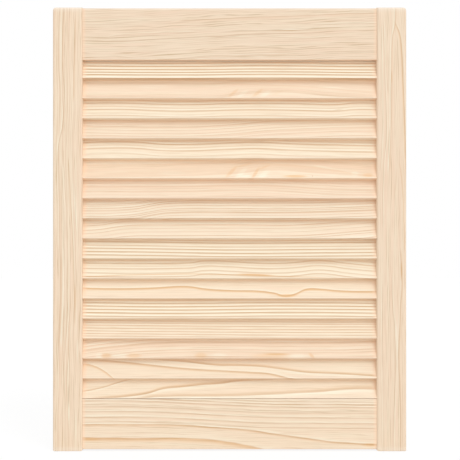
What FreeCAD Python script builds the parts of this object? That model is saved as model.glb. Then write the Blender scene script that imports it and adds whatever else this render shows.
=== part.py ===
# Louvred cabinet door of unfinished pine, front towards -Y, standing on its stile feet at Z = 0.
# Two stiles carry two dowelled rails and a field of fixed slats, whose ends sit in slanted slots.
import FreeCAD, Part
import math
import os

import Sketcher

# Driving dimensions in millimetres, apart from counts and the one share: alias, value, meaning.
SIZES = (
    ("door_height", 615, "stile foot to stile top"),
    ("door_width", 490, "outer edge to outer edge"),
    ("door_thickness", 21, "stile front to stile back"),
    ("stile_width", 41, "seen from the front"),
    ("stile_horn", 2.5, "stile foot below the bottom rail"),
    ("horn_chamfer", 1.5, "inner corner of a stile foot"),
    ("edge_round", 3, "edges of the stiles and outer edges of the top rail"),
    ("foot_round", 1, "outer edges of the bottom rail"),
    ("corner_ease", 1, "outer top corner of a stile, rounder than its edges by this"),
    ("arris", 0.8, "eased small edges"),
    ("rail_width", 72, "outer edge to lip"),
    ("rail_setback", 2, "rail face behind stile face"),
    ("rail_drop", 0.7, "top rail below the stile tops"),
    ("rebate_height", 1.9, "step in a rail's edge that an end slat tucks into, from lip to front edge"),
    ("lip_clearance", 1.5, "end slat to the wall of that step"),
    ("slat_count", 17, "slats in the field"),
    ("slat_width", 31, "across the grain"),
    ("slat_thickness", 6, "face to face"),
    ("slat_round", 0.8, "long edges of a slat"),
    ("round_share", 0.45, "the most of a slat's thickness that one rounded edge takes"),
    ("slat_setback", 2, "slat edge behind stile face"),
    ("slat_gap", 0.4, "end slat to the bevelled floor of the rail's step"),
    ("slot_depth", 8, "slot in a stile's inner face"),
    ("slot_clearance", 0.15, "round a slat in its slot"),
    ("slat_end_gap", 0.4, "slat end to slot bottom"),
    ("dowel_diameter", 8, "over the flutes"),
    ("dowel_length", 40, "half in the stile, half in the rail"),
    ("dowel_inset", 18, "dowel middle from the rail's outer edge and from its lip"),
    ("dowel_chamfer", 0.35, "dowel ends"),
    ("dowel_clearance", 0.1, "glue line round a dowel"),
    ("dowel_end_gap", 0.6, "dowel end to hole bottom"),
    ("flute_count", 10, "glue flutes round a dowel"),
    ("flute_depth", 0.4, "a flute is a V this deep and twice as wide"),
    ("flute_stop", 1, "flute end to the chamfer of the dowel's end"),
)

# Sizes and places that follow from the driving dimensions. A slat's tilt, measured from upright, is
# the one at which its rounded section reaches from setback to setback through the door's thickness.
LAYOUT = (
    ("top_rail_top", "Sizes.door_height - Sizes.rail_drop"),
    ("rail_length", "Sizes.door_width - 2 * Sizes.stile_width"),
    ("rail_thickness", "Sizes.door_thickness - 2 * Sizes.rail_setback"),
    ("joint_reach", "Sizes.door_width / 2 - Sizes.stile_width"),
    ("corner_round", "Sizes.edge_round + Sizes.corner_ease"),
    ("slat_edge", "min(Sizes.slat_round; Sizes.round_share * Sizes.slat_thickness)"),
    ("core_width", "Sizes.slat_width - 2 * slat_edge"),
    ("core_thickness", "Sizes.slat_thickness - 2 * slat_edge"),
    ("core_reach", "Sizes.door_thickness - 2 * Sizes.slat_setback - 2 * slat_edge"),
    ("core_diagonal", "sqrt(core_width ^ 2 + core_thickness ^ 2)"),
    ("slat_tilt", "asin(core_reach / core_diagonal) - atan(core_thickness / core_width)"),
    ("slat_length", "rail_length + 2 * (Sizes.slot_depth - Sizes.slat_end_gap)"),
    ("slot_width", "Sizes.slat_width + 2 * Sizes.slot_clearance"),
    ("slot_thickness", "Sizes.slat_thickness + 2 * Sizes.slot_clearance"),
    ("slat_reach", "Sizes.slat_width / 2 * cos(slat_tilt)"),
    ("slat_lean", "Sizes.slat_width / 2 * sin(slat_tilt)"),
    ("slat_seat", "Sizes.slat_gap / cos(slat_tilt) - (rail_thickness / 2 - slat_lean) * tan(slat_tilt)"),
    ("bottom_edge", "Sizes.stile_horn + Sizes.rail_width - Sizes.rebate_height"),
    ("top_edge", "top_rail_top - Sizes.rail_width + Sizes.rebate_height"),
    ("lowest_slat", "bottom_edge + slat_seat + slat_reach"),
    ("highest_slat", "top_edge - slat_seat - slat_reach"),
    ("slat_pitch", "(highest_slat - lowest_slat) / (Sizes.slat_count - 1)"),
    ("slat_corner", "Sizes.slat_thickness / 2 * cos(slat_tilt) - slat_lean"),
    ("slat_sink", "Sizes.rebate_height - slat_seat + Sizes.slat_thickness / 2 * sin(slat_tilt)"),
    ("slat_tuck", "slat_sink * tan(slat_tilt)"),
    ("rebate_depth", "rail_thickness / 2 + slat_corner + slat_tuck + Sizes.lip_clearance"),
    ("rebate_fall", "rebate_depth * tan(slat_tilt)"),
    ("dowel_spread", "Sizes.rail_width / 2 - Sizes.dowel_inset"),
    ("bottom_rail_middle", "Sizes.stile_horn + Sizes.rail_width / 2"),
    ("top_rail_middle", "top_rail_top - Sizes.rail_width / 2"),
    ("dowel_hole_radius", "Sizes.dowel_diameter / 2 + Sizes.dowel_clearance"),
    ("dowel_hole_depth", "Sizes.dowel_length / 2 + Sizes.dowel_end_gap"),
    ("flute_length", "Sizes.dowel_length - 2 * (Sizes.dowel_chamfer + Sizes.flute_stop)"),
)

SKETCH_ORIGIN = (-1, 1)
SKETCH_AXIS = {"level": -1, "upright": -2}
START, END, CENTRE = range(1, 4)
OUT_OF_SKETCH = FreeCAD.Vector(0, 0, 1)
QUARTER_TURN = math.pi / 2
TOUCH = 1e-6

doc = FreeCAD.newDocument("LouvredDoor")


def make_sheets():
    """The sheet of driving dimensions, and a second one that works out the layout from it."""
    sizes = doc.addObject("Spreadsheet::Sheet", "Sizes")
    for row, (alias, number, meaning) in enumerate(SIZES, 1):
        sizes.set(f"A{row}", str(number))
        sizes.setAlias(f"A{row}", alias)
        sizes.set(f"B{row}", meaning)
    doc.recompute()
    layout = doc.addObject("Spreadsheet::Sheet", "Layout")
    for row, (alias, formula) in enumerate(LAYOUT, 1):
        layout.setAlias(f"A{row}", alias)
        layout.set(f"A{row}", "=" + formula)
    doc.recompute()
    return layout


layout = make_sheets()


def value(expression):
    """The plain number that an expression over the sheets gives."""
    result = layout.evalExpression(expression)
    return float(getattr(result, "Value", result))


def same(first, second):
    return abs(first - second) < TOUCH


def new_body(label):
    body = doc.addObject("PartDesign::Body", label)
    body.Label = label
    return body


def origin_feature(body, role):
    return next(feature for feature in body.Origin.OriginFeatures if feature.Role == role)


def new_sketch(body, name, role):
    """A sketch on one of its body's own origin planes."""
    sketch = body.newObject("Sketcher::SketchObject", f"{body.Name}_{name}")
    sketch.AttachmentSupport = [(origin_feature(body, role), "")]
    sketch.MapMode = "FlatFace"
    return sketch


def constrain(sketch, kind, *places):
    sketch.addConstraint(Sketcher.Constraint(kind, *places))


def dimension(sketch, name, expression, kind, *places):
    """Adds a named dimensional constraint, bound to an expression over the sheets."""
    index = sketch.addConstraint(Sketcher.Constraint(kind, *places, value(expression)))
    sketch.renameConstraint(index, name)
    sketch.setExpression(f"Constraints.{name}", expression)


def join(sketch, kind, *pieces):
    """Joins each piece's end to the next one's start, with kind Coincident or Tangent."""
    for here, there in zip(pieces, pieces[1:]):
        constrain(sketch, kind, here, END, there, START)


def straight(sketch, start, end):
    """Adds a line from start to end, held level or upright if it is drawn so."""
    line = sketch.addGeometry(Part.LineSegment(FreeCAD.Vector(*start, 0), FreeCAD.Vector(*end, 0)))
    if start[1] == end[1]:
        constrain(sketch, "Horizontal", line)
    elif start[0] == end[0]:
        constrain(sketch, "Vertical", line)
    return line


def quarter_round(sketch, centre, radius, start_quarter):
    """Adds a quarter circle that starts at start_quarter quarter turns from the sketch's X axis."""
    circle = Part.Circle(FreeCAD.Vector(*centre, 0), OUT_OF_SKETCH, radius)
    first = start_quarter * QUARTER_TURN
    return sketch.addGeometry(Part.ArcOfCircle(circle, first, first + QUARTER_TURN))


def rectangle(sketch, across, along):
    """A square-cornered rectangle round the sketch's origin, sized by two expressions."""
    x, y = value(across) / 2, value(along) / 2
    corners = ((-x, -y), (x, -y), (x, y), (-x, y))
    sides = [straight(sketch, here, there) for here, there in zip(corners, corners[1:] + corners[:1])]
    join(sketch, "Coincident", *sides, sides[0])
    bottom, right, top, _ = sides
    constrain(sketch, "Symmetric", bottom, START, top, START, *SKETCH_ORIGIN)
    dimension(sketch, "across", across, "DistanceX", bottom, START, bottom, END)
    dimension(sketch, "along", along, "DistanceY", right, START, right, END)


def rounded_rectangle(sketch, across, along, corner):
    """A rectangle with rounded corners round the sketch's origin, sized by three expressions."""
    half_wide, half_high, radius = value(across) / 2, value(along) / 2, value(corner)
    x, y = half_wide - radius, half_high - radius
    bottom = straight(sketch, (-x, -half_high), (x, -half_high))
    right = straight(sketch, (half_wide, -y), (half_wide, y))
    top = straight(sketch, (x, half_high), (-x, half_high))
    left = straight(sketch, (-half_wide, y), (-half_wide, -y))
    centres = ((x, -y), (x, y), (-x, y), (-x, -y))
    corners = [
        quarter_round(sketch, centre, radius, quarter) for quarter, centre in enumerate(centres, -1)
    ]
    sides = (bottom, right, top, left)
    ring = [piece for pair in zip(sides, corners) for piece in pair]
    join(sketch, "Tangent", *ring, bottom)
    for here, there in zip(corners, corners[1:]):
        constrain(sketch, "Equal", here, there)
    constrain(sketch, "Symmetric", corners[0], CENTRE, corners[2], CENTRE, *SKETCH_ORIGIN)
    dimension(sketch, "across", across, "DistanceX", left, START, right, START)
    dimension(sketch, "along", along, "DistanceY", bottom, START, top, START)
    dimension(sketch, "corner", corner, "Radius", corners[0])


def circle_up_axis(sketch, name, height, radius):
    """A circle on the sketch's upright axis, its height and radius given by expressions."""
    centre = FreeCAD.Vector(0, value(height), 0)
    rim = sketch.addGeometry(Part.Circle(centre, OUT_OF_SKETCH, value(radius)))
    constrain(sketch, "PointOnObject", rim, CENTRE, SKETCH_AXIS["upright"])
    dimension(sketch, f"{name}_up", height, "DistanceY", *SKETCH_ORIGIN, rim, CENTRE)
    dimension(sketch, f"{name}_radius", radius, "Radius", rim)


def dowel_pair(sketch, name, middle):
    """The two dowel holes of a joint, above and below a rail's middle."""
    for place, sign in (("lower", "-"), ("upper", "+")):
        height = f"{middle} {sign} Layout.dowel_spread"
        circle_up_axis(sketch, f"{name}_{place}", height, "Layout.dowel_hole_radius")


def pad(body, name, sketch, length):
    """Extrudes a sketch evenly to both sides of its plane."""
    feature = body.newObject("PartDesign::Pad", f"{body.Name}_{name}")
    feature.Profile = sketch
    feature.SideType = "Symmetric"
    feature.setExpression("Length", length)
    doc.recompute()


def pocket(body, name, sketch, length, reverse=False, both_ways=False):
    """Cuts a sketch into the body, and stops if nothing was cut."""
    before = body.Shape.Volume
    feature = body.newObject("PartDesign::Pocket", f"{body.Name}_{name}")
    feature.Profile = sketch
    feature.Reversed = reverse
    if both_ways:
        feature.SideType = "Symmetric"
    feature.setExpression("Length", length)
    doc.recompute()
    if body.Shape.Volume > before - TOUCH:
        raise RuntimeError(f"{feature.Name} cuts nothing")
    return feature


def dress(body, kind, name, edge_test, property_name, expression):
    """Adds a fillet or chamfer to every edge of the body that passes the test."""
    base = body.Tip
    chosen = [f"Edge{number}" for number, edge in enumerate(base.Shape.Edges, 1) if edge_test(edge)]
    feature = body.newObject(f"PartDesign::{kind}", f"{body.Name}_{name}")
    feature.Base = (base, chosen)
    feature.setExpression(property_name, expression)
    doc.recompute()


def finish_with(body, pattern):
    """Makes a pattern or mirror the body's last feature."""
    body.Tip = pattern
    doc.recompute()


def stile_outline(body):
    """Front view of a stile: inner face on the upright axis, foot on the level one, top corner round."""
    wide, high = value("Sizes.stile_width"), value("Sizes.door_height")
    chamfer, corner = value("Sizes.horn_chamfer"), value("Layout.corner_round")
    sketch = new_sketch(body, "outline", "XZ_Plane")
    foot = straight(sketch, (chamfer, 0), (wide, 0))
    outer = straight(sketch, (wide, 0), (wide, high - corner))
    top_corner = quarter_round(sketch, (wide - corner, high - corner), corner, 0)
    top = straight(sketch, (wide - corner, high), (0, high))
    inner = straight(sketch, (0, high), (0, chamfer))
    foot_chamfer = straight(sketch, (0, chamfer), (chamfer, 0))
    join(sketch, "Coincident", foot, outer)
    join(sketch, "Tangent", outer, top_corner, top)
    join(sketch, "Coincident", top, inner, foot_chamfer, foot)
    constrain(sketch, "PointOnObject", foot, START, SKETCH_AXIS["level"])
    constrain(sketch, "PointOnObject", inner, END, SKETCH_AXIS["upright"])
    dimension(sketch, "width", "Sizes.stile_width", "DistanceX", *SKETCH_ORIGIN, foot, END)
    dimension(sketch, "height", "Sizes.door_height", "DistanceY", *SKETCH_ORIGIN, top, END)
    dimension(sketch, "corner", "Layout.corner_round", "Radius", top_corner)
    chamfer_size = "Sizes.horn_chamfer"
    dimension(sketch, "chamfer_across", chamfer_size, "DistanceX", *SKETCH_ORIGIN, foot, START)
    dimension(sketch, "chamfer_up", chamfer_size, "DistanceY", *SKETCH_ORIGIN, inner, END)
    return sketch


def ease_stile(body):
    """Rounds a stile's edges all round its front and back, and eases its sawn foot."""
    half = value("Sizes.door_thickness") / 2
    chamfer = value("Sizes.horn_chamfer")

    def on_a_face_above_the_foot(edge):
        ends = [vertex.Point for vertex in edge.Vertexes]
        on_face = same(abs(ends[0].y), half) and same(ends[0].y, ends[-1].y)
        return on_face and max(point.z for point in ends) > chamfer + TOUCH

    def round_the_foot(edge):
        return all(same(vertex.Point.z, 0) for vertex in edge.Vertexes)

    dress(body, "Fillet", "rounding", on_a_face_above_the_foot, "Radius", "Sizes.edge_round")
    dress(body, "Chamfer", "foot_easing", round_the_foot, "Size", "Sizes.arris")


def cut_slots(body, side):
    """Cuts the slanted mortise of the lowest slat and repeats it up the stile."""
    slot = new_sketch(body, "slot", "YZ_Plane")
    rectangle(slot, "Layout.slot_thickness", "Layout.slot_width")
    slot.setExpression("AttachmentOffset.Base.y", "Layout.lowest_slat")
    slot.setExpression("AttachmentOffset.Rotation.Angle", f"{-side} * Layout.slat_tilt")
    lowest = pocket(body, "lowest_slot", slot, "Sizes.slot_depth", reverse=True)
    slots = body.newObject("PartDesign::LinearPattern", f"{body.Name}_slots")
    slots.Originals = [lowest]
    slots.Direction = (origin_feature(body, "Z_Axis"), [""])
    slots.setExpression("Length", "Layout.slat_pitch * (Sizes.slat_count - 1)")
    slots.setExpression("Occurrences", "Sizes.slat_count")
    finish_with(body, slots)


def make_stile(label, side):
    """A stile with its slots and dowel holes. side is 1 on the right and -1 on the left."""
    body = new_body(label)
    pad(body, "board", stile_outline(body), "Sizes.door_thickness")
    ease_stile(body)
    cut_slots(body, side)
    holes = new_sketch(body, "dowel_holes", "YZ_Plane")
    dowel_pair(holes, "bottom", "Layout.bottom_rail_middle")
    dowel_pair(holes, "top", "Layout.top_rail_middle")
    pocket(body, "dowel_bores", holes, "Layout.dowel_hole_depth", reverse=True)
    turn = 0 if side > 0 else 180
    body.Placement.Rotation = FreeCAD.Rotation(FreeCAD.Vector(0, 0, 1), turn)
    body.setExpression("Placement.Base.x", f"{side} * Layout.joint_reach")
    return body


def rail_section(body):
    """End view of a rail: outer edge on the level axis, lip at the back, bevelled rebate at the front."""
    half, wide = value("Layout.rail_thickness") / 2, value("Sizes.rail_width")
    step = wide - value("Sizes.rebate_height")
    wall, floor = value("Layout.rebate_depth") - half, step - value("Layout.rebate_fall")
    corners = ((-half, 0), (half, 0), (half, wide), (wall, wide), (wall, floor), (-half, step))
    sketch = new_sketch(body, "section", "YZ_Plane")
    lines = [straight(sketch, here, there) for here, there in zip(corners, corners[1:] + corners[:1])]
    join(sketch, "Coincident", *lines, lines[0])
    outer, back, _, rebate_wall, rebate_floor, _ = lines
    constrain(sketch, "Symmetric", outer, START, outer, END, *SKETCH_ORIGIN)
    dimension(sketch, "thickness", "Layout.rail_thickness", "DistanceX", outer, START, outer, END)
    dimension(sketch, "width", "Sizes.rail_width", "DistanceY", back, START, back, END)
    rise, depth, fall = "Sizes.rebate_height", "Layout.rebate_depth", "Layout.rebate_fall"
    dimension(sketch, "rebate_rise", rise, "DistanceY", rebate_floor, END, rebate_wall, START)
    dimension(sketch, "rebate_depth", depth, "DistanceX", rebate_floor, END, rebate_floor, START)
    dimension(sketch, "rebate_fall", fall, "DistanceY", rebate_floor, START, rebate_floor, END)
    return sketch


def ease_rail(body, rounding):
    """Rounds a rail's outer edges as the expression says, and eases the two edges of its lip side."""
    half, wide = value("Layout.rail_thickness") / 2, value("Sizes.rail_width")
    step = wide - value("Sizes.rebate_height")

    def lengthwise_at(*places):
        def test(edge):
            first, last = edge.Vertexes[0].Point, edge.Vertexes[-1].Point
            lengthwise = same(first.y, last.y) and same(first.z, last.z)
            return lengthwise and any(same(first.y, y) and same(first.z, z) for y, z in places)

        return test

    dress(body, "Fillet", "rounding", lengthwise_at((-half, 0), (half, 0)), "Radius", rounding)
    dress(body, "Fillet", "easing", lengthwise_at((half, wide), (-half, step)), "Radius", "Sizes.arris")


def make_rail(label, turn, height, rounding):
    """A rail with its dowel holes. turn is its turn about X, and height where its outer edge goes."""
    body = new_body(label)
    pad(body, "board", rail_section(body), "Layout.rail_length")
    ease_rail(body, rounding)
    holes = new_sketch(body, "dowel_holes", "YZ_Plane")
    holes.setExpression("AttachmentOffset.Base.z", "Layout.rail_length / 2")
    dowel_pair(holes, "end", "Sizes.rail_width / 2")
    bores = pocket(body, "dowel_bores", holes, "Layout.dowel_hole_depth")
    both_ends = body.newObject("PartDesign::Mirrored", f"{label}_both_ends")
    both_ends.Originals = [bores]
    both_ends.MirrorPlane = (origin_feature(body, "YZ_Plane"), [""])
    finish_with(body, both_ends)
    body.Placement.Rotation = FreeCAD.Rotation(FreeCAD.Vector(1, 0, 0), turn)
    body.setExpression("Placement.Base.z", height)
    return body


def make_slat(label, steps_up):
    """A slat, steps_up pitches above the lowest one."""
    body = new_body(label)
    section = new_sketch(body, "section", "YZ_Plane")
    rounded_rectangle(section, "Sizes.slat_thickness", "Sizes.slat_width", "Layout.slat_edge")
    section.setExpression("AttachmentOffset.Rotation.Angle", "-Layout.slat_tilt")
    pad(body, "board", section, "Layout.slat_length")
    body.setExpression("Placement.Base.z", f"Layout.lowest_slat + {steps_up} * Layout.slat_pitch")
    return body


def make_slats():
    """The field of slats, numbered from the top."""
    count = round(value("Sizes.slat_count"))
    return [make_slat(f"slat_{number:02d}", count - number) for number in range(1, count + 1)]


def flute_section(body):
    """A V on the upright axis, its point inside the dowel's rim and its open side outside."""
    point, outside = "Sizes.dowel_diameter / 2 - Sizes.flute_depth", "2 * Sizes.flute_depth"
    low, high = value(point), value(point) + value(outside)
    half_wide = high - low
    sketch = new_sketch(body, "flute", "YZ_Plane")
    lid = straight(sketch, (half_wide, high), (-half_wide, high))
    left = straight(sketch, (-half_wide, high), (0, low))
    right = straight(sketch, (0, low), (half_wide, high))
    join(sketch, "Coincident", lid, left, right, lid)
    constrain(sketch, "PointOnObject", left, END, SKETCH_AXIS["upright"])
    constrain(sketch, "Equal", left, right)
    dimension(sketch, "point", point, "DistanceY", *SKETCH_ORIGIN, left, END)
    dimension(sketch, "rise", outside, "DistanceY", right, START, right, END)
    dimension(sketch, "spread", outside, "DistanceX", right, START, right, END)
    return sketch


def make_dowel(label, side, height):
    """A fluted dowel across a joint between a rail and a stile."""
    body = new_body(label)
    section = new_sketch(body, "section", "YZ_Plane")
    centre, radius = FreeCAD.Vector(0, 0, 0), value("Sizes.dowel_diameter / 2")
    rim = section.addGeometry(Part.Circle(centre, OUT_OF_SKETCH, radius))
    constrain(section, "Coincident", rim, CENTRE, *SKETCH_ORIGIN)
    dimension(section, "diameter", "Sizes.dowel_diameter", "Diameter", rim)
    pad(body, "rod", section, "Sizes.dowel_length")

    def is_a_rim(edge):
        return isinstance(edge.Curve, Part.Circle)

    dress(body, "Chamfer", "ends", is_a_rim, "Size", "Sizes.dowel_chamfer")
    first_flute = pocket(body, "first_flute", flute_section(body), "Layout.flute_length", both_ways=True)
    flutes = body.newObject("PartDesign::PolarPattern", f"{label}_flutes")
    flutes.Originals = [first_flute]
    flutes.Axis = (origin_feature(body, "X_Axis"), [""])
    flutes.Angle = 360
    flutes.setExpression("Occurrences", "Sizes.flute_count")
    finish_with(body, flutes)
    body.setExpression("Placement.Base.x", f"{side} * Layout.joint_reach")
    body.setExpression("Placement.Base.z", height)
    return body


def make_dowels():
    """Two dowels in each of the four frame joints."""
    dowels = []
    for rail in ("top", "bottom"):
        for side_name, side in (("left", -1), ("right", 1)):
            for place, sign in (("upper", "+"), ("lower", "-")):
                height = f"Layout.{rail}_rail_middle {sign} Layout.dowel_spread"
                dowels.append(make_dowel(f"dowel_{rail}_{side_name}_{place}", side, height))
    return dowels


def check(bodies):
    """Stops if any object failed to build or a sub-part isn't one valid solid."""
    for item in doc.Objects:
        if "Invalid" in item.State or "Error" in item.State:
            raise RuntimeError(f"{item.Name} failed: {item.State}")
    for body in bodies:
        shape = body.Shape
        if shape.isNull() or not shape.isValid() or len(shape.Solids) != 1:
            raise RuntimeError(f"{body.Label} is not one valid solid")


def export(bodies):
    os.makedirs("parts", exist_ok=True)
    for body in bodies:
        body.Shape.exportStep(os.path.join("parts", f"{body.Label}.step"))


bodies = [
    make_stile("left_stile", -1),
    make_stile("right_stile", 1),
    make_rail("top_rail", 180, "Layout.top_rail_top", "Sizes.edge_round"),
    make_rail("bottom_rail", 0, "Sizes.stile_horn", "Sizes.foot_round"),
    *make_slats(),
    *make_dowels(),
]
doc.recompute()
check(bodies)
export(bodies)
for alias in ("slat_tilt", "slat_pitch", "rebate_depth", "rebate_fall"):
    print(f"{alias} {value(f'Layout.{alias}'):.2f}")
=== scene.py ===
import math
from typing import NamedTuple

import bpy
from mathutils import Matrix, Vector


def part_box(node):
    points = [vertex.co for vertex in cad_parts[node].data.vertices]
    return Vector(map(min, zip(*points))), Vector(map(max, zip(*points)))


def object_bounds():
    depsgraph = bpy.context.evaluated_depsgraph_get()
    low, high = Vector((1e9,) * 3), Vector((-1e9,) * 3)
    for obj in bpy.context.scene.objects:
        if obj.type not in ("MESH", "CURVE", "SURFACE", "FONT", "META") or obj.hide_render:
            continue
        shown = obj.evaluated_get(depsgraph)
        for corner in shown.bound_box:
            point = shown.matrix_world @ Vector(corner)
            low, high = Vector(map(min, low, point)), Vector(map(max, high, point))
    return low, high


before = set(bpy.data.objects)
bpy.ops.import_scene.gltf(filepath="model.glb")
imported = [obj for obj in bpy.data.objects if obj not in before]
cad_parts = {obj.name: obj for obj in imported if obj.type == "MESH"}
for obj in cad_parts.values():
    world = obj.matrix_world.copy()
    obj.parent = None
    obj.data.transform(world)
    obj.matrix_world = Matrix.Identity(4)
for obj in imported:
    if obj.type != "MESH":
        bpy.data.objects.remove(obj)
cad_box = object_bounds()

# The picture is square. These are its side and the door's outer edges in it, in pixels.
PICTURE_SIDE = 460
DOOR_LEFT_PIXEL, DOOR_RIGHT_PIXEL = 52.7, 406.5
DOOR_TOP_PIXEL, DOOR_FOOT_PIXEL = 7.0, 451.5

# Lengths here are in metres and angles in degrees, apart from the wood, which is in millimetres.
CAMERA_DISTANCE = 1.7
SENSOR_SIDE_MM = 36

# The two soft lamps: height and side angle of the light, its softness and its strength.
KEY_LIGHT = (42, 28, 22, 0.627)
FILL_LIGHT = (4, 26, 60, 0.505)
AMBIENT = 0.798

FLOOR_SIDE = 12
FLOOR_COLOUR = (0.85, 0.85, 0.85, 1)
WHITE = (1, 1, 1, 1)
# How much of what the camera sees of the floor is plain white, and how much takes the shadow.
FLOOR_GLOW, FLOOR_SHADE = 0.86, 0.16

MILLIMETRES = 1000
UP = Vector((0, 0, 1))
RIGHT = Vector((1, 0, 0))

# Colours of bare pine: pinkish and cream early wood, the pale wood that starts a year, the tan late
# wood that ends it, fine dark fibres, resin-rich orange wood, a painted highlight for edges the light
# catches, a painted warm shade for sheltered corners and undersides, and sawn ends.
PINK_WOOD = (0.936, 0.73, 0.555, 1)
CREAM_WOOD = (0.945, 0.82, 0.637, 1)
PALE_WOOD = (1, 0.93, 0.76, 1)
LATE_WOOD = (0.59, 0.34, 0.165, 1)
FIBRE_WOOD = (0.54, 0.35, 0.16, 1)
ORANGE_WOOD = (0.9, 0.6, 0.34, 1)
PAINTED_HIGHLIGHT_WOOD = (0.98, 0.88, 0.76, 1)
PAINTED_SHADE_WOOD = (1, 0.71, 0.5, 1)
END_WOOD = (0.7, 0.48, 0.29, 1)
BEECH_WOOD = (0.6, 0.37, 0.2, 1)
BEECH_FLECK = (0.42, 0.22, 0.1, 1)

# How fast a line that is drawn on a face moves across as it goes into the wood, how far it takes to fade
# out beyond its ends, and how far apart the hair lines lie.
STREAK_SLOPE = 0.5
STREAK_FADE = 14
HAIR_SPACING = 2.8

# What varies in the wood, by its length along the grain and its width across.
SLOW_SWAY = (130, 40)
QUICK_SWAY = (24, 8)
STREAK_SWAY = (40, 12)
RING_FADING = (70, 4)
STREAK_FADING = (60, 5)
HAIR_FADING = (50, 2.5)
HAIR_WAVE = (60, 6)
COARSE_FIBRE = (55, 1.6)
FINE_FIBRE = (30, 0.6)
BROAD_CLOUD = (110, 18)
SMALL_CLOUD = (26, 6)
CREAM_BAND = (240, 5)
TONE_CLOUD = (75, 14)
PINE_SHEEN = (30, 2)
PINE_PORE = (25, 0.5)
BEECH_FLECKS = (3, 0.35)
BEECH_STREAKS = (30, 1.5)
BEECH_SHEEN = (12, 1)

# Where a board's visible face ends, from its middle: slats and rails at the stiles, stiles at their ends.
HALF_OPENING = 204
HALF_STILE = 307.5

# Heights on a slat's face: between which painted warm shade lies where the next slat up shelters it, and
# the painted highlight on its lower edge.
SLAT_PAINTED_SHADE = (5, 13)
SLAT_ARRIS = (-15, -14)

# Surfaces: how rough and how shiny the wood is, how high pores and late wood stand, and how much of
# that height shows in the shading.
PINE_ROUGHNESS = 0.62
BEECH_ROUGHNESS = 0.55
PINE_SHINE = 0.25
PORE_HEIGHT = 0.03
LATE_HEIGHT = 0.04
BUMP_STRENGTH = 0.5


class Patch(NamedTuple):
    """A soft oval on a board: its place and half sizes along and across, how pale it is or how dark where
    negative, how orange it is, and how far it leans, in millimetres across for each one along."""

    along: float
    across: float
    half_length: float
    half_width: float
    pale: float
    orange: float = 0.0
    lean: float = 0.0


class Streak(NamedTuple):
    """A line of late wood through points of (along, across), which fades out beyond the first and last:
    its width, its darkness, how pale the wood beside it is, above the line where positive and below it
    where negative, and how orange it is."""

    points: tuple
    width: float
    dark: float
    pale: float
    orange: float = 0.0


class Grain(NamedTuple):
    """How a board was cut from its log, in millimetres along and across the middle of its front face.

    line is where one year's growth ends, as points of (along, across). The pith runs side below that
    line and depth behind the face. Years end every ring from there, or at the distances in ends, each
    given with its darkness. late is the width of a year's late wood, strength is how much the years
    show and pale how pale each one starts. wander is how far lines sway, and unevenness how much they
    differ. cream, fibre and hair are shares of cream wood, fine fibres and hair lines, and tone is how
    light the whole board is.
    """

    cream: float
    line: tuple = ((-308, 0), (308, 0))
    side: float = 60
    depth: float = 20
    ring: float = 0.0
    ends: tuple = ()
    late: float = 2.0
    strength: float = 1.0
    pale: float = 1.0
    wander: float = 0.4
    unevenness: float = 0.5
    fibre: float = 0.13
    hair: float = 0.24
    tone: float = 1.0
    patches: tuple = ()
    streaks: tuple = ()


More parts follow.
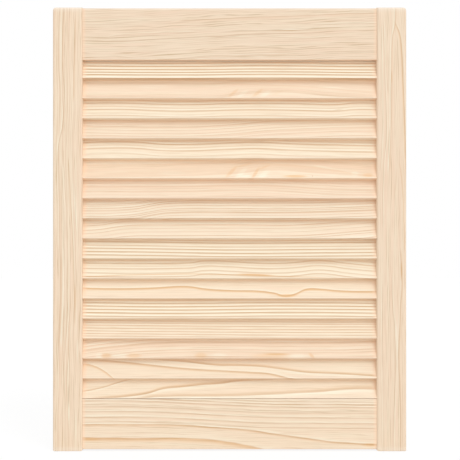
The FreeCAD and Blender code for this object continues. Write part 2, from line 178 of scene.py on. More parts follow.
GRAINS = {
    "left_stile": Grain(
        cream=0.3, side=70, depth=25, late=2.2, strength=0.3, wander=1, unevenness=0.6,
        pale=0.8, fibre=0.16, hair=0.5, tone=0.967,
        line=(
            (-308, 3), (-264, 3.2), (-208, 1.4), (-153, 2.4), (-98, 0.4), (-42, 0.1), (13, 1.2), (68, 2.5),
            (124, 2.9), (179, 1), (235, 2.6), (308, 1.2),
        ),
        ends=(
            (-15, 0.35), (-9.6, 0.6), (-3.5, 0.5), (0, 0.8), (4.1, 0.8), (9.6, 1), (12.6, 0.4), (17, 0.6),
        ),
        streaks=(
            Streak(
                ((-153, 11.2), (-125, 9.6), (-105, 8.6), (-77, 8.2), (-45, 7.8), (41, 7.5), (82, 8.3)),
                width=4, dark=0.3, pale=-0.6,
            ),
            Streak(
                (
                    (98, 13.6), (112, 13), (121, 11.8), (132, 9.4), (142, 7.2), (154, 6.2), (193, 7.6),
                    (309, 6.6),
                ),
                width=1.7, dark=0.48, pale=0.6,
            ),
            Streak(
                ((-123, -10.5), (-98, -10.2), (-70, -9.1), (-15, -7.5), (13, -6.1), (61, -3.3), (89, -1.9)),
                width=1.5, dark=0.42, pale=-0.3, orange=0.2,
            ),
            Streak(((187, -7.8), (228, -8.9), (282, -10)), width=1.8, dark=0.48, pale=0.35, orange=0.25),
            Streak(((-220, 5), (-195, 4.7), (-170, 3.6), (-146, 1.5), (-106, -0.3)), 1.5, 0.33, -0.4),
            Streak(
                ((-271, -1.1), (-229, 0), (-202, 0.4), (-184, -0.6), (-167, -1.9), (-137, -3.6)),
                width=1.3, dark=0.25, pale=-0.6, orange=0.1,
            ),
            Streak(((-209, 8.3), (-184, 7.8), (-156, 6.1), (-114, 3.6)), 1.5, 0.3, -0.3),
            Streak(((138, 5.8), (168, 4.2), (200, 3.6), (298, 3.6)), 1.4, 0.3, -0.3),
            Streak(((-109, -0.1), (-42, -0.1), (-8, 0)), 1.4, 0.35, -0.35),
        ),
        patches=(
            Patch(31, -10.5, 45, 1.5, 0.6, 0, 0.084), Patch(-49, 8.9, 17, 1.2, -0.25),
            Patch(-95, -10.5, 24, 1.3, -0.1, 0.45), Patch(-253, -2.2, 16, 1.2, 0.6),
            Patch(-167, -13.8, 18, 1.4, 0.5), Patch(-271, -11.6, 26, 1.4, 0.4),
            Patch(117, 12.7, 18, 1.4, 0.6, 0.15), Patch(265, 10, 32, 1.6, 0.25),
        ),
    ),
    "right_stile": Grain(
        cream=0.3, wander=0.5, unevenness=0.5, fibre=0.16, hair=0.42, tone=0.955,
        line=((-308, -8), (20, -8.2), (124, -8.8), (234, -7.6), (308, -5)),
        streaks=(
            Streak(
                (
                    (60, -24), (96, -20.7), (124, -19.4), (169, -17.6), (199, -16.3), (234, -15),
                    (257, -13.4), (270, -11.4), (277, -9),
                ),
                width=2.4, dark=0.55, pale=-0.4, orange=0.4,
            ),
            Streak(
                (
                    (88, 3.5), (124, 1.9), (151, 1.2), (207, 0.7), (235, 0.4), (255, -0.1), (269, -1.3),
                    (278, -3.4), (286, -4.6), (312, -4.8),
                ),
                width=1.7, dark=0.35, pale=0.8, orange=0.15,
            ),
            Streak(
                (
                    (10, 12), (55, 12.2), (75, 11.8), (96, 10.4), (114, 8.3), (135, 7.2), (151, 7.1),
                    (172, 7.6), (200, 8.7), (235, 9.7), (276, 10.8),
                ),
                width=1.5, dark=0.38, pale=-0.6,
            ),
            Streak(
                ((89, 15), (117, 13.6), (138, 12.9), (158, 12.9), (193, 13.6), (276, 14.3)),
                width=1.4, dark=0.3, pale=-0.5,
            ),
            Streak(
                ((-22, -16.9), (27, -16.2), (48, -15.1), (66, -13.7), (81, -12)),
                width=1.6, dark=0.3, pale=0.15, orange=0.25,
            ),
            Streak(
                (
                    (-308, -11.6), (-250, -11.6), (-209, -10.2), (-188, -9.6), (-167, -9.8), (-125, -11.4),
                    (-106, -12), (-92, -13.3), (-77, -14), (-56, -13.3), (-37, -12.3),
                ),
                width=2, dark=0.5, pale=0.4, orange=0.15,
            ),
            Streak(
                (
                    (-308, -2.4), (-257, -3.3), (-206, -5.1), (-184, -5.7), (-146, -4.4), (-128, -3.5),
                    (-114, -2.1), (-98, -1), (-70, -0.7),
                ),
                width=1.6, dark=0.42, pale=-0.5,
            ),
            Streak(((-308, 11.4), (-229, 11.8), (-181, 12.6), (-84, 12.9)), 1.4, 0.3, 0.4),
            Streak(((-125, 2.4), (-84, 3.5), (-45, 4.2), (-4, 3.7)), 1.4, 0.22, 0.25),
        ),
        patches=(
            Patch(63, -5.5, 26, 1.6, -0.16, 0.1, -0.09), Patch(-58, -13.4, 16, 1.6, -0.2, 0.5),
            Patch(-150, -7.1, 30, 1.5, 0.45, 0, 0.05), Patch(211, -0.1, 11, 1.1, -0.2, 0.5),
            Patch(241, 12.5, 34, 1.2, 0.35),
        ),
    ),
    "top_rail": Grain(
        cream=0.3, side=90, depth=40, ring=4.6, late=1.7, strength=0.22, wander=1, unevenness=0.6,
        pale=0.5, fibre=0.16, hair=0.58, tone=0.949,
        line=((-204, -6), (-150, -5.5), (-60, -1), (15, 3.5), (90, 5), (150, 8), (204, 9)),
        streaks=(
            Streak(
                ((-60, 19.1), (-27, 20.6), (1, 22.2), (56, 24.2), (111, 25.9), (139, 27.6), (205, 29.2)),
                width=1.7, dark=0.55, pale=0.2, orange=0.12,
            ),
            Streak(((-204, 14), (-159, 14.3), (-138, 16.2), (-88, 17.6)), 1.5, 0.36, 0.2),
            Streak(((-157, -2.1), (-131, 0.4), (-110, 1.1), (-58, 2.5)), 1.6, 0.42, 0.6),
            Streak(((-204, -5.7), (-149, -5.3), (-127, -3.7), (-89, -2.6)), 1.6, 0.5, -0.4),
            Streak(
                (
                    (-204, -9.7), (-179, -9.8), (-170, -10.9), (-110, -8.3), (-69, -6.2), (-41, -4.4),
                    (-13, -3.7), (10, -1.8), (49, -0.1), (97, 0.4),
                ),
                width=1.6, dark=0.55, pale=-0.3,
            ),
            Streak(((9, -4.8), (70, -4.3), (97, -5.4), (136, -4.3)), 1.5, 0.4, 0.55),
            Streak(((70, 5.1), (97, 5.5), (118, 7.2), (145, 8.7)), 1.6, 0.5, 0.4),
            Streak(((-5, 3.2), (35, 4.4), (84, 5)), 1.5, 0.36, 0.4),
            Streak(((-69, 11.5), (-34, 12.7), (9, 13.7)), 1.5, 0.36, 0.3),
            Streak(((128, 13.2), (167, 14.5), (204, 14.8)), 1.5, 0.38, 0.5),
            Streak(
                ((-96, -35.3), (-55, -34.2), (-34, -32.8), (14, -30.7), (97, -29.5)),
                width=1.6, dark=0.42, pale=-0.45,
            ),
            Streak(((9, -27.3), (56, -26.3), (89, -25.5)), 1.5, 0.42, -0.45),
            Streak(((133, -25.6), (160, -25.1), (204, -24.2)), 1.5, 0.4, -0.4),
        ),
    ),
    "bottom_rail": Grain(
        cream=0.5, side=90, depth=40, late=2.2, strength=0.75, wander=1.3, unevenness=0.7,
        fibre=0.1, hair=0.4, tone=0.987,
        line=((-204, 16.6), (-125, 16.3), (-62, 14), (0, 10.9), (63, 8.6), (125, 7.9), (204, 7)),
        ends=(
            (-12.7, 0.65), (-7.1, 0.8), (0, 0.9), (6, 0.6), (8.4, 0.6), (13.4, 0.8), (17, 1), (20.5, 0.6),
        ),
        streaks=(
            Streak(
                (
                    (-204, -1.9), (-125, -1.7), (-62, -2.8), (0, -7.1), (28, -9.6), (63, -14.8),
                    (125, -23.5), (160, -27), (204, -29.5),
                ),
                width=2.8, dark=0.75, pale=0.8, orange=0.4,
            ),
            Streak(
                ((-204, -20.5), (-125, -20.8), (-62, -21), (0, -26.6), (30, -32), (50, -37), (204, -60)),
                width=5, dark=0.5, pale=0.5, orange=0.7,
            ),
        ),
        patches=(Patch(196, -30, 16, 3.5, 0, 0.6), Patch(-195, -22, 18, 3, 0, 0.4)),
    ),
    "slat_01": Grain(
        cream=1, side=80, depth=10, late=2.3, strength=1, pale=1.15, unevenness=0.2, tone=1.017,
        line=((-204, -1.4), (-111, -2), (-41, -1.9), (28, -1), (98, -1.3), (167, -2.2), (204, -2.4)),
        ends=((-13.5, 0.8), (-8.3, 0.95), (-4.4, 1), (0, 0.95), (5.1, 1), (10.2, 0.8)),
    ),
    "slat_02": Grain(
        cream=0.25, side=12, depth=70, ring=5, late=1.6, strength=0.3, tone=1.02,
        line=((-204, 8), (-100, 9), (-20, 8), (20, 14), (80, 17), (130, 12), (204, 8)),
        patches=(
            Patch(-105, 2, 34, 4, 0.25), Patch(5, -8, 9, 4.2, -0.05, 0.42, 0.85),
            Patch(18, -9, 9, 5, 0.42, 0, 0.6), Patch(39, -7.5, 9, 4.2, -0.05, 0.45, 0.75),
            Patch(50, -9, 10, 5, 0.42, 0, 0.5),
            Patch(66, -8, 9, 3, 0, 0.15, 0.4), Patch(140, 1, 22, 2, 0.35),
        ),
        streaks=(
            Streak(
                ((-204, 9), (90, 4), (130, 1), (160, -2.5), (204, -6)),
                width=2.6, dark=0.08, pale=0.2, orange=0.1,
            ),
        ),
    ),
    "slat_03": Grain(
        cream=0.8, late=2.3, strength=0.75, wander=0.3, unevenness=0.35, tone=1.01,
        line=(
            (-204, -2.3), (-145, -1.8), (-97, -3.8), (-55, -4.4), (3, -2.7), (49, -2.3), (98, -3.2),
            (146, -4.3), (160, -3.4), (170, -2.3), (204, -2.2),
        ),
        ends=((-8.8, 0.65), (-4.9, 0.25), (0, 1), (4.3, 0.5), (9.6, 1), (14.5, 0.9)),
        patches=(Patch(151, -2.6, 8, 0.9, -0.35, 0, 0.1),),
    ),
    "slat_04": Grain(
        cream=0.28, depth=30, ring=4.4, late=2.1, strength=0.6,
        line=(
            (-204, -6.5), (-83, -8.4), (-41, -7.7), (3, -4.7), (56, 0.6), (98, 2.8), (153, 5.1), (204, 5.9),
        ),
    ),
    "slat_05": Grain(
        cream=0.8, late=2.6, strength=0.8, tone=1.02, wander=0.4, unevenness=0.35,
        line=(
            (-204, -1.3), (-150, 0.5), (-125, -0.6), (-97, -3.4), (-55, -4), (3, -1.3), (35, -0.4),
            (84, -2.8), (140, -4.6), (204, -6.1),
        ),
        ends=((-8.2, 0.4), (0, 0.8), (4.5, 0.3), (9.3, 1), (13.5, 0.6)),
        patches=(Patch(32, -15.2, 28, 1.4, -0.3),),
    ),
    "slat_06": Grain(
        cream=0.3, side=10, depth=75, ring=5, late=1.6, strength=0.25, tone=1.045,
        line=((-204, 5), (-80, 7), (0, 10), (60, 16), (120, 12), (204, 6)),
        patches=(
            Patch(2.5, -6, 10, 5, -0.06, 0.52, 1), Patch(20, 4, 14, 2, -0.04, 0.35, 0.25),
            Patch(16, -8, 10, 6, 0.5, 0, 0.8), Patch(36, -8, 7, 5.6, -0.06, 0.58, 1.4),
            Patch(48, 1, 10, 2, -0.04, 0.4, 0.4), Patch(48, -9, 10, 6, 0.45, 0, 0.6),
            Patch(22, -12.5, 11, 3, 0.5), Patch(46, -12, 12, 3, 0.5), Patch(91, -13, 20, 3, -0.06, 0.85),
            Patch(174, -9, 7, 4.5, 0.6), Patch(115, -12.5, 1.2, 1.2, -0.5),
            Patch(130, 1, 18, 3, 0.3, 0, -0.2), Patch(-80, -8, 25, 4, 0.25), Patch(192, -11, 9, 4, 0, 0.55),
        ),
        streaks=(
            Streak(
                ((-204, 14), (70, 6), (120, 1), (150, -4), (175, -9), (204, -12)),
                width=2.6, dark=0.08, pale=0.25, orange=0.15,
            ),
        ),
    ),
    "slat_07": Grain(
        cream=0.1, depth=30, ring=3.6, late=1.8, strength=0.36,
        line=((-204, 3), (-60, 3.5), (40, 5), (84, 3), (112, 1), (153, -1.5), (204, -2)),
    ),
    "slat_08": Grain(
        cream=0.35, ring=3.4, late=1.9, strength=0.95, tone=0.985,
        line=(
            (-204, -15), (-154, -14), (-127, -11.6), (-113, -8.7), (-93, -5), (-73, -3.6), (3, -3.2),
            (98, -3.2), (140, -2), (204, 0.5),
        ),
    ),
    "slat_09": Grain(
        cream=0.45, depth=30, ring=4.6, late=2.2, strength=0.7,
        line=(
            (-204, -8), (-180, -6.6), (-155, -2.5), (-131, -0.3), (-97, 0), (3, 0.3), (84, -0.2),
            (119, 1.5), (160, 5.1), (204, 9.3),
        ),
    ),
    "slat_10": Grain(
        cream=1, side=80, late=2.2, strength=0.85, wander=0.3, unevenness=0.2,
        line=((-204, -5), (-180, -5.3), (-111, -6.2), (-41, -7.5), (28, -8.1), (98, -7.4), (204, -6.6)),
        ends=((-4.9, 1), (0, 1), (4.9, 1), (9.2, 0.6), (14.7, 1), (18, 0.7)),
    ),
    "slat_11": Grain(
        cream=0.95, late=2.2, strength=0.75, wander=0.3, unevenness=0.35, tone=1.012,
        line=(
            (-204, -0.5), (-69, -0.7), (-52, 0.1), (-38, 2.5), (3, 1.6), (28, -0.2), (77, -0.8), (98, 1),
            (119, 3.4), (140, 2.5), (160, -0.5), (204, -5),
        ),
        ends=((-11.2, 0.8), (-6.2, 0.6), (0, 0.8), (3.6, 0.3), (7.5, 0.9), (12.6, 0.6)),
        streaks=(
            Streak(
                ((-204, -13), (-40, -9), (8, -10.2), (40, -11.4), (80, -12.6), (204, -18)),
                width=1.2, dark=0.35, pale=0.2, orange=0.6,
            ),
        ),
        patches=(Patch(36, -10.6, 30, 1.8, -0.25, 1, -0.035),),
    ),
    "slat_12": Grain(
        cream=0.6, unevenness=0.3, tone=1.015,
        streaks=(
            Streak(
                (
                    (-204, -0.3), (-166, -1.3), (-110, -0.4), (-83, 1.4), (-69, 2), (-55, 1.5), (-34, -1.6),
                    (3, -4), (45, -5.2), (56, -6.7), (64, -8.2), (73, -11.2), (81, -11.5), (92, -8.7),
                    (102, -3.7), (109, -1.6), (126, -1.9), (153, -4.5), (204, -5.5),
                ),
                width=3, dark=0.62, pale=0.6, orange=0.85,
            ),
        ),
        patches=(Patch(80, -11.5, 16, 3, 0, 0.7), Patch(112, -2.5, 18, 2, 0, 0.4)),
    ),
    "slat_13": Grain(
        cream=1, side=80, depth=10, late=2.2, strength=0.93, pale=1.15, wander=0.3, unevenness=0.2,
        tone=1.02,
        line=((-204, -1.8), (-180, -2), (-111, -3.1), (-41, -3), (28, -2), (98, -1.9), (204, -2.8)),
        ends=((-10, 0.9), (-4.9, 1), (0, 1), (4.7, 1), (9.4, 0.8), (14.6, 1)),
    ),
    "slat_14": Grain(
        cream=0.5, side=70, late=1.9, strength=0.8, unevenness=0.4, tone=1.02,
        line=((-204, 0), (-111, -1.2), (-41, -1.7), (28, -2.5), (98, -2.8), (204, -2.8)),
        ends=(
            (-11, 0.7), (-7.6, 0.85), (-4, 0.8), (0, 0.9), (4, 0.9), (7.6, 0.6), (10.8, 0.8), (14.5, 0.6),
        ),
    ),
    "slat_15": Grain(
        cream=0.1, depth=40, ring=4.2, late=1.8, strength=0.85, wander=0.8, unevenness=0.7,
        line=((-204, -3), (-138, 5), (-97, 8), (0, 9), (100, 8), (204, 10)),
        patches=(
            Patch(-181, -12, 6, 6, 0.35), Patch(-171, -12, 9, 5, -0.08, 0.6), Patch(-153, -12, 15, 5, 0.45),
            Patch(-133, -12, 13, 5, -0.07, 0.5), Patch(-40, -12, 11, 6, -0.06, 0.55),
            Patch(-15, -12, 14, 6, 0.35), Patch(66, -9.5, 22, 1.6, -0.18, 0.8),
            Patch(56, -13, 32, 6, -0.02, 0.45), Patch(94, -12.5, 17, 5, 0.4),
            Patch(114, -12, 5, 4, -0.1, 0.6, -0.8),
        ),
    ),
    "slat_16": Grain(
        cream=0.55, unevenness=0.3,
        streaks=(
            Streak(
                (
                    (-205, 13.3), (-137, 6.7), (-68, -0.8), (0, -5.2), (28, -6.7), (55, -8.9), (80, -14.8),
                    (100, -20), (204, -50),
                ),
                width=3.2, dark=0.65, pale=0.6, orange=0.4,
            ),
            Streak(
                (
                    (-205, 20), (-164, 15.5), (-109, 11.8), (-68, 8.9), (-13, 2.9), (0, 2.9), (42, 1.4),
                    (66, -1.4), (103, -6.7), (151, -8.9), (204, -12.5),
                ),
                width=3.4, dark=0.65, pale=-0.6, orange=0.4,
            ),
            Streak(
                ((-205, 4.8), (-191, 2.9), (-172, -6.7), (-163, -14.1), (-150, -25), (204, -90)),
                width=3, dark=0.4, pale=0.3, orange=0.6,
            ),
        ),
    ),
    "slat_17": Grain(
        cream=0.6, unevenness=0.3, tone=1.01,
        streaks=(
            Streak(
                ((-204, -6), (-178, -0.7), (-157, 6.1), (-142, 10.5), (-130, 12), (-100, 17), (204, 40)),
                width=2.2, dark=0.6, pale=-0.6, orange=0.2,
            ),
            Streak(
                (
                    (-204, -19), (-175, -15.7), (-139, -12.2), (-114, -8.4), (-93, -2), (-66, 1), (-38, 4),
                    (-11, 6), (5, 8.6), (44, 11.4), (204, 17),
                ),
                width=4, dark=0.7, pale=-0.7, orange=0.35,
            ),
            Streak(
                (
                    (-204, -30), (-130, -18), (-109, -13.5), (-89, -12.5), (0, -11.7), (55, -9.5),
                    (97, -7.2), (124, -5.8), (165, -2), (204, -2.4),
                ),
                width=5, dark=0.45, pale=-0.9, orange=0.2,
            ),
        ),
    ),
}


# Arithmetic on shader numbers


def feed(tree, socket, given):
    """Links a field to a socket, or sets the socket to a plain number or colour."""
    if isinstance(given, Field):
        tree.links.new(given.socket, socket)
    else:
        socket.default_value = given


def add_node(tree, kind, inputs=None, **settings):
    """Adds a node with its settings, and feeds its inputs by name or number."""
    node = tree.nodes.new(kind)
    for name, setting in settings.items():
        setattr(node, name, setting)
    for name, given in (inputs or {}).items():
        feed(tree, node.inputs[name], given)
    return node


class Field:
    """A number or vector that varies over a surface. Arithmetic on it adds the nodes that work it out."""

    def __init__(self, tree, socket):
        self.tree = tree
        self.socket = socket

    def math(self, operation, *others):
        given = dict(enumerate((self, *others)))
        node = add_node(self.tree, "ShaderNodeMath", given, operation=operation)
        return Field(self.tree, node.outputs[0])

    def __add__(self, other):
        return self.math("ADD", other)

    def __sub__(self, other):
        return self.math("SUBTRACT", other)

    def __mul__(self, other):
        return self.math("MULTIPLY", other)

    def __truediv__(self, other):
        return self.math("DIVIDE", other)

    def squared(self):
        return self.math("MULTIPLY", self)

    def step(self, low, high, to_low=0.0, to_high=1.0):
        """Goes smoothly from to_low at low to to_high at high, and stays there."""
        given = {"Value": self, 1: low, 2: high, 3: to_low, 4: to_high}
        node = add_node(self.tree, "ShaderNodeMapRange", given, interpolation_type="SMOOTHSTEP")
        return Field(self.tree, node.outputs[0])

    def through(self, points):
        """A smooth curve through points of (this number, result)."""
        node = add_node(self.tree, "ShaderNodeFloatCurve", {"Value": self})
        node.mapping.use_clip = False
        knots = node.mapping.curves[0].points
        knots[0].location, knots[-1].location = points[0], points[-1]
        for point in points[1:-1]:
            knots.new(*point)
        node.mapping.update()
        return Field(self.tree, node.outputs[0])


def hypotenuse(first, second):
    return (first.squared() + second.squared()).math("SQRT")


def total(fields):
    """The sum of a list of fields."""
    result, *others = fields
    for other in others:
        result = result + other
    return result


def vector_of(tree, x, y, z):
    return Field(tree, add_node(tree, "ShaderNodeCombineXYZ", {0: x, 1: y, 2: z}).outputs[0])


def noise(place, size, seed, detail=2.0):
    """Smooth noise round zero, about -1 to 1, drawn out along the grain to a size of (length, width)."""
    u, v, w = place
    length, width = size
    point = vector_of(u.tree, u / length, v / width, w / width)
    given = {"Vector": point, "W": seed, "Scale": 1.0, "Detail": detail}
    node = add_node(u.tree, "ShaderNodeTexNoise", given, noise_dimensions="4D")
    return (Field(u.tree, node.outputs["Fac"]) - 0.5) * 2


def line_noise(field, seed):
    """Smooth noise round zero that changes with one number."""
    given = {"W": field + seed, "Scale": 1.0, "Detail": 0.0}
    node = add_node(field.tree, "ShaderNodeTexNoise", given, noise_dimensions="1D")
    return (Field(field.tree, node.outputs["Fac"]) - 0.5) * 2


def chance(field):
    """A random number from 0 to 1 for each whole value of a field."""
    node = add_node(field.tree, "ShaderNodeTexWhiteNoise", {"W": field}, noise_dimensions="1D")
    return Field(field.tree, node.outputs["Value"])


def mix_colours(share, first, second):
    node = add_node(share.tree, "ShaderNodeMix", {"Factor": share, 6: first, 7: second}, data_type="RGBA")
    return Field(share.tree, node.outputs[2])


def dot(vector, direction):
    given = {0: vector, 1: direction}
    node = add_node(vector.tree, "ShaderNodeVectorMath", given, operation="DOT_PRODUCT")
    return Field(vector.tree, node.outputs["Value"])


# Wood


def broad_face_direction(node):
    """The direction that a board's largest forward-looking flat faces."""
    faces = [face for face in node.data.polygons if face.normal.y < -0.5]
    return max(faces, key=lambda face: face.area).normal.copy()


def board_place(tree, node, along):
    """A surface point in the board's own millimetres: along the grain, across it, and out of its face."""
    out = broad_face_direction(node)
    low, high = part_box(node.name)
    middle = (low + high) / 2
    face_level = max((vertex.co - middle).dot(out) for vertex in node.data.vertices)
    start = middle + out * face_level
    point = Field(tree, add_node(tree, "ShaderNodeTexCoord").outputs["Object"])
    offset = add_node(tree, "ShaderNodeVectorMath", {0: point, 1: start}, operation="SUBTRACT")
    offset = Field(tree, offset.outputs[0])
    return [dot(offset, direction) * MILLIMETRES for direction in (along, out.cross(along), out)]


def year_end(beyond, late, dark, pale):
    """Late wood that darkens up to a year's end, and pale wood that starts sharply beyond it."""
    edge = 0.35 * late
    darkness = beyond.step(-late, 0, 0, dark) * beyond.step(0, edge, 1, 0)
    paleness = beyond.step(0, edge, 0, pale) * beyond.step(edge, 1.8 * late, 1, 0)
    return darkness, paleness


def regular_years(distance, grain, seed):
    """Years of about equal growth, each with a darkness of its own."""
    years = distance / grain.ring
    years = years + line_noise(years / 1.3, seed + 2) * grain.unevenness
    year = years.math("FLOOR")
    inside = (years - year) * grain.ring
    before_end = inside * -1 + grain.ring
    darkness = chance(year + seed * 7.3).step(0, 1, 1 - grain.unevenness, 1)
    late = before_end.step(0, grain.late, 1, 0) * inside.step(0, min(0.5, 0.15 * grain.ring))
    pale = inside.step(0.1 * grain.late, 1.6 * grain.late, 1, 0)
    return late * darkness, pale * darkness


def grain_place(place, grain, seed):
    """The same point with its distance across counted from the board's line, which sways a little."""
    u, v, w = place
    slow_sway = noise(place, SLOW_SWAY, seed) * grain.wander
    quick_sway = noise(place, QUICK_SWAY, seed + 1) * (0.45 * grain.wander)
    return u, v - u.through(grain.line) + (slow_sway + quick_sway), w


def year_rings(place, grain, seed, shares):
    """Adds the tan late wood that ends each year and the pale wood that starts the next."""
    _, across, w = place
    distance = hypotenuse(across + grain.side, w + grain.depth) - math.hypot(grain.side, grain.depth)
    years = [regular_years(distance, grain, seed)] if grain.ring else []
    for end, darkness in grain.ends:
        years.append(year_end(distance - end, grain.late, darkness, darkness))
    fading = noise(place, RING_FADING, seed + 3)
    fading = fading.step(-0.5, 0.4, 1 - grain.unevenness, 1) * grain.strength
    for late, pale in years:
        shares["late"].append(late * fading)
        shares["pale"].append(pale * fading * grain.pale)


def single_streaks(place, grain, seed, shares):
    """Adds the lines that are drawn one by one."""
    u, v, w = place
    sway = noise(place, STREAK_SWAY, seed + 1) * (0.8 * grain.wander) + w * STREAK_SLOPE
    for streak in grain.streaks:
        side = math.copysign(1, streak.pale)
        beyond = (v - u.through(streak.points) + sway) * side
        late, pale = year_end(beyond, streak.width, streak.dark, abs(streak.pale))
        first, last = streak.points[0][0], streak.points[-1][0]
        reach = u.step(first - STREAK_FADE, first) * u.step(last, last + STREAK_FADE, 1, 0)
        fading = noise(place, STREAK_FADING, seed + streak.width)
        fading = fading.step(-0.5, 0.4, 1 - grain.unevenness, 1) * reach
        tinge = beyond.step(-1.5 * streak.width, -0.2, 0, streak.orange) * beyond.step(0, 0.6, 1, 0)
        shares["late"].append(late * fading)
        shares["pale"].append(pale * fading)
        shares["orange"].append(tinge * reach)


def patchwork(place, grain, shares):
    """Adds the board's soft patches."""
    u, v, _ = place
    for patch in grain.patches:
        along = u - patch.along
        across = v - patch.across - along * patch.lean
        inside = hypotenuse(along / patch.half_length, across / patch.half_width).step(0.3, 1.1, 1, 0)
        shares["pale" if patch.pale > 0 else "late"].append(inside * abs(patch.pale))
        shares["orange"].append(inside * patch.orange)


def hair_lines(place, share, seed):
    """Thin wavy lines along the grain, some dark and some faint, that come and go."""
    _, across, w = place
    lines = (across + w * STREAK_SLOPE) / HAIR_SPACING + noise(place, HAIR_WAVE, seed + 11, detail=1) * 1.1
    line = lines.math("FLOOR")
    off_middle = (lines - line - 0.5).math("ABSOLUTE")
    darkness = chance(line + seed * 3.7).step(0, 1, 0.3 * share, share)
    coming_and_going = noise(place, HAIR_FADING, seed + 12).step(-0.3, 0.25)
    return off_middle.step(0.05, 0.32, 1, 0) * darkness * coming_and_going


def fibres(place, grain, seed):
    """Fine streaks and hair lines along the grain."""
    streaks = noise(place, COARSE_FIBRE, seed + 5) * 0.6 + noise(place, FINE_FIBRE, seed + 9) * 0.5
    return streaks.step(-0.35, 0.5, 0, grain.fibre) + hair_lines(place, grain.hair, seed)


def slat_edges(wood, place, normal):
    """Painted warm shade under the next slat up and beside the stiles, a painted highlight on the front
    arris, painted shade on the underside.
    """
    u, v, w = place
    beside_stiles = u.math("ABSOLUTE").step(HALF_OPENING - 8, HALF_OPENING - 1, 0, 0.5)
    # painted warm shade where the next slat up shelters the face and beside the stiles
    painted_shade = v.step(*SLAT_PAINTED_SHADE, 0, 0.5).math("MAXIMUM", beside_stiles)
    wood = mix_colours(painted_shade, wood, PAINTED_SHADE_WOOD)
    # painted highlight along the slat's lower front arris
    wood = mix_colours(v.step(*SLAT_ARRIS, 0.45, 0) * w.step(-0.6, -0.2), wood, PAINTED_HIGHLIGHT_WOOD)
    # painted shade: faces that look down are darkened towards late wood
    return mix_colours(dot(normal, UP).step(-0.85, -0.5, 0.18, 0), wood, LATE_WOOD)


def painted_edge_highlight(wood, upward):
    """Painted highlight: paler wood on upper edges that tilt towards the light from above."""
    return mix_colours(upward.step(0.05, 0.4, 0, 0.4) * upward.step(0.8, 0.98, 1, 0), wood, PAINTED_HIGHLIGHT_WOOD)


def stile_edges(wood, place, normal):
    """Painted highlight on upper edges, and a paler band near both ends painted to stand for light on the
    top end's rounding.
    """
    wood = painted_edge_highlight(wood, dot(normal, UP))
    # painted highlight: a paler band near each end of the stile
    ends = place[0].math("ABSOLUTE").step(HALF_STILE - 8.5, HALF_STILE - 2.5, 0, 0.28)
    return mix_colours(ends, wood, PAINTED_HIGHLIGHT_WOOD)


def rail_edges(wood, place, normal):
    """Painted highlight on upper edges, and painted warm shade on the undersides and beside the stiles."""
    upward = dot(normal, UP)
    beside_stiles = place[0].math("ABSOLUTE").step(HALF_OPENING - 6, HALF_OPENING - 1, 0, 0.5)
    # painted warm shade on the undersides and beside the stiles
    painted_shade = upward.step(-0.8, -0.3, 0.9, 0).math("MAXIMUM", beside_stiles)
    return mix_colours(painted_shade, painted_edge_highlight(wood, upward), PAINTED_SHADE_WOOD)


def pine_colour(place, normal, along, grain, seed):
    """The colour of a board's wood before its edges are rubbed, and how much late wood is in it."""
    swayed = grain_place(place, grain, seed)
    shares = {"pale": [], "orange": [], "late": []}
    if grain.ring or grain.ends:
        year_rings(swayed, grain, seed, shares)
    single_streaks(place, grain, seed, shares)
    patchwork(place, grain, shares)
    late = total(shares["late"])
    clouds = noise(place, BROAD_CLOUD, seed + 6) * 0.3 + noise(place, SMALL_CLOUD, seed + 10) * 0.25
    cream = clouds + noise(swayed, CREAM_BAND, seed + 13) * 0.7 + grain.cream
    wood = mix_colours(cream, PINK_WOOD, CREAM_WOOD)
    wood = mix_colours(total(shares["pale"]), wood, PALE_WOOD)
    if shares["orange"]:
        wood = mix_colours(total(shares["orange"]), wood, ORANGE_WOOD)
    wood = mix_colours(late, wood, LATE_WOOD)
    wood = mix_colours(fibres(swayed, grain, seed), wood, FIBRE_WOOD)
    end_grain = dot(normal, along).math("ABSOLUTE").step(0.7, 0.95, 0, 0.35)
    return mix_colours(end_grain, wood, END_WOOD), late


def make_pine(name, node, along, edges, seed):
    """Bare pine with the grain of one board, matt, and a little uneven to the touch."""
    grain = GRAINS[name]
    material = bpy.data.materials.new(f"pine_{name}")
    material.use_nodes = True
    tree = material.node_tree
    shader = tree.nodes["Principled BSDF"]
    place = board_place(tree, node, along)
    normal = Field(tree, add_node(tree, "ShaderNodeTexCoord").outputs["Normal"])
    wood, late = pine_colour(place, normal, along, grain, seed)
    wood = edges(wood, place, normal)
    lightness = noise(place, TONE_CLOUD, seed + 4) * 0.018 + grain.tone
    colour = add_node(tree, "ShaderNodeVectorMath", {0: wood, "Scale": lightness}, operation="SCALE")
    tree.links.new(colour.outputs[0], shader.inputs["Base Color"])
    feed(tree, shader.inputs["Roughness"], noise(place, PINE_SHEEN, seed + 7) * 0.06 + PINE_ROUGHNESS)
    shader.inputs["Specular IOR Level"].default_value = PINE_SHINE
    height = noise(place, PINE_PORE, seed + 8, detail=3) * PORE_HEIGHT + late * LATE_HEIGHT
    relief = {"Height": height, "Strength": BUMP_STRENGTH, "Distance": 1 / MILLIMETRES}
    bump = add_node(tree, "ShaderNodeBump", relief)
    tree.links.new(bump.outputs["Normal"], shader.inputs["Normal"])
    return material


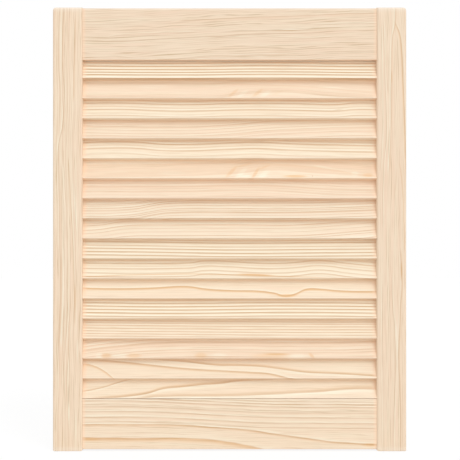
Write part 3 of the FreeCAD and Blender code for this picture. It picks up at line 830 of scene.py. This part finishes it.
def make_beech(name):
    """Turned beech with its grain along the dowel: slow streaks and short dark flecks."""
    material = bpy.data.materials.new(name)
    material.use_nodes = True
    tree = material.node_tree
    shader = tree.nodes["Principled BSDF"]
    point = Field(tree, add_node(tree, "ShaderNodeTexCoord").outputs["Object"])
    place = [dot(point, direction) * MILLIMETRES for direction in (RIGHT, UP, RIGHT.cross(UP))]
    flecks = noise(place, BEECH_FLECKS, 1).step(0.25, 0.5, 0, 0.5)
    streaks = noise(place, BEECH_STREAKS, 2).step(-0.3, 0.5, 0, 0.3)
    wood = mix_colours(flecks + streaks, BEECH_WOOD, BEECH_FLECK)
    tree.links.new(wood.socket, shader.inputs["Base Color"])
    feed(tree, shader.inputs["Roughness"], noise(place, BEECH_SHEEN, 3) * 0.08 + BEECH_ROUGHNESS)
    return material


def dress_boards():
    beech = make_beech("beech")
    for number, (name, node) in enumerate(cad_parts.items()):
        node.data.materials.clear()
        if name not in GRAINS:
            node.data.materials.append(beech)
            continue
        if name.endswith("stile"):
            along, edges = UP, stile_edges
        elif name.endswith("rail"):
            along, edges = RIGHT, rail_edges
        else:
            along, edges = RIGHT, slat_edges
        node.data.materials.append(make_pine(name, node, along, edges, 10.0 * number))


# Studio


def make_camera():
    low, high = cad_box
    pixel = (high.x - low.x) / (DOOR_RIGHT_PIXEL - DOOR_LEFT_PIXEL)
    middle_column = (DOOR_LEFT_PIXEL + DOOR_RIGHT_PIXEL) / 2
    middle_row = (DOOR_TOP_PIXEL + DOOR_FOOT_PIXEL) / 2
    data = bpy.data.cameras.new("camera")
    data.sensor_width = SENSOR_SIDE_MM
    data.lens = SENSOR_SIDE_MM * CAMERA_DISTANCE / (PICTURE_SIDE * pixel)
    camera = bpy.data.objects.new("camera", data)
    camera.location = (
        (low.x + high.x) / 2 + (PICTURE_SIDE / 2 - middle_column) * pixel,
        low.y - CAMERA_DISTANCE,
        (low.z + high.z) / 2 - (PICTURE_SIDE / 2 - middle_row) * pixel,
    )
    camera.rotation_euler = (math.radians(90), 0, 0)
    bpy.context.scene.collection.objects.link(camera)
    bpy.context.scene.camera = camera


def add_lamp(name, height, side, softness, strength):
    """A soft light from far off, at a height above level and to the right of the front."""
    data = bpy.data.lights.new(name, "SUN")
    data.angle = math.radians(softness)
    data.energy = strength
    lamp = bpy.data.objects.new(name, data)
    height, side = math.radians(height), math.radians(side)
    level = Vector((math.sin(side), -math.cos(side), 0)) * math.cos(height)
    towards = level + UP * math.sin(height)
    lamp.rotation_euler = towards.to_track_quat("Z", "Y").to_euler()
    bpy.context.scene.collection.objects.link(lamp)


def seen_directly(tree):
    """1 for what the camera, a reflection or a clear surface sees, 0 for light on its way to a surface."""
    path = add_node(tree, "ShaderNodeLightPath")
    seen = [Field(tree, path.outputs[f"Is {kind} Ray"]) for kind in ("Camera", "Glossy", "Transmission")]
    return seen[0].math("MAXIMUM", seen[1]).math("MAXIMUM", seen[2])


def make_world():
    """Even light from all round, and plain white where the background is seen."""
    world = bpy.data.worlds.new("studio")
    bpy.context.scene.world = world
    world.use_nodes = True
    tree = world.node_tree
    background = tree.nodes["Background"]
    background.inputs["Color"].default_value = WHITE
    feed(tree, background.inputs["Strength"], seen_directly(tree) * (1 - AMBIENT) + AMBIENT)


def make_floor():
    half = FLOOR_SIDE / 2
    corners = [(-half, -half, 0), (half, -half, 0), (half, half, 0), (-half, half, 0)]
    mesh = bpy.data.meshes.new("floor")
    mesh.from_pydata(corners, [], [(0, 1, 2, 3)])
    material = bpy.data.materials.new("floor")
    material.use_nodes = True
    tree = material.node_tree
    tree.nodes.clear()
    plain = add_node(tree, "ShaderNodeBsdfDiffuse", {"Color": FLOOR_COLOUR})
    shade = add_node(tree, "ShaderNodeBsdfDiffuse", {"Color": (FLOOR_SHADE, FLOOR_SHADE, FLOOR_SHADE, 1)})
    glow = add_node(tree, "ShaderNodeEmission", {"Color": WHITE, "Strength": FLOOR_GLOW})
    white = add_node(tree, "ShaderNodeAddShader")
    choice = add_node(tree, "ShaderNodeMixShader", {"Fac": seen_directly(tree)})
    output = add_node(tree, "ShaderNodeOutputMaterial")
    tree.links.new(shade.outputs[0], white.inputs[0])
    tree.links.new(glow.outputs[0], white.inputs[1])
    tree.links.new(plain.outputs[0], choice.inputs[1])
    tree.links.new(white.outputs[0], choice.inputs[2])
    tree.links.new(choice.outputs[0], output.inputs["Surface"])
    mesh.materials.append(material)
    floor = bpy.data.objects.new("floor", mesh)
    bpy.context.scene.collection.objects.link(floor)


bpy.context.scene.view_settings.view_transform = "Standard"
dress_boards()
make_camera()
add_lamp("key", *KEY_LIGHT)
add_lamp("fill", *FILL_LIGHT)
make_world()
make_floor()
